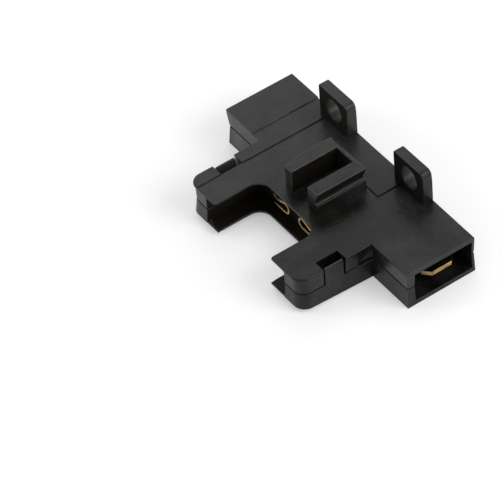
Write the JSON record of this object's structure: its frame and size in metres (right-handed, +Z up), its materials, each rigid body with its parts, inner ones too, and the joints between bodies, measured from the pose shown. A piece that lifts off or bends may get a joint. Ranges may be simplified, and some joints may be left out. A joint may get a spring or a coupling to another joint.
{
  "type": "blade fuse holder",
  "caption": "Stackable moulded holder for one flat blade fuse: open mouth with a finger notch, tab sockets at both ends, screw ears and a dovetail rail.",
  "frame": {"origin": "centre of the underside, on the surface the holder lies on", "axes": "+X towards the right tab socket, +Y towards the screw ears, away from the fuse mouth, +Z up towards the rail"},
  "size_m": [0.047, 0.0264, 0.0135],
  "materials": {
    "black_nylon": "satin black moulded nylon",
    "stamped_brass": "plain stamped brass strip"
  },
  "bodies": {
    "root": {"upper_shell": "black_nylon", "lower_shell": "black_nylon", "left_contact": "stamped_brass", "right_contact": "stamped_brass"}
  },
  "joints": []
}
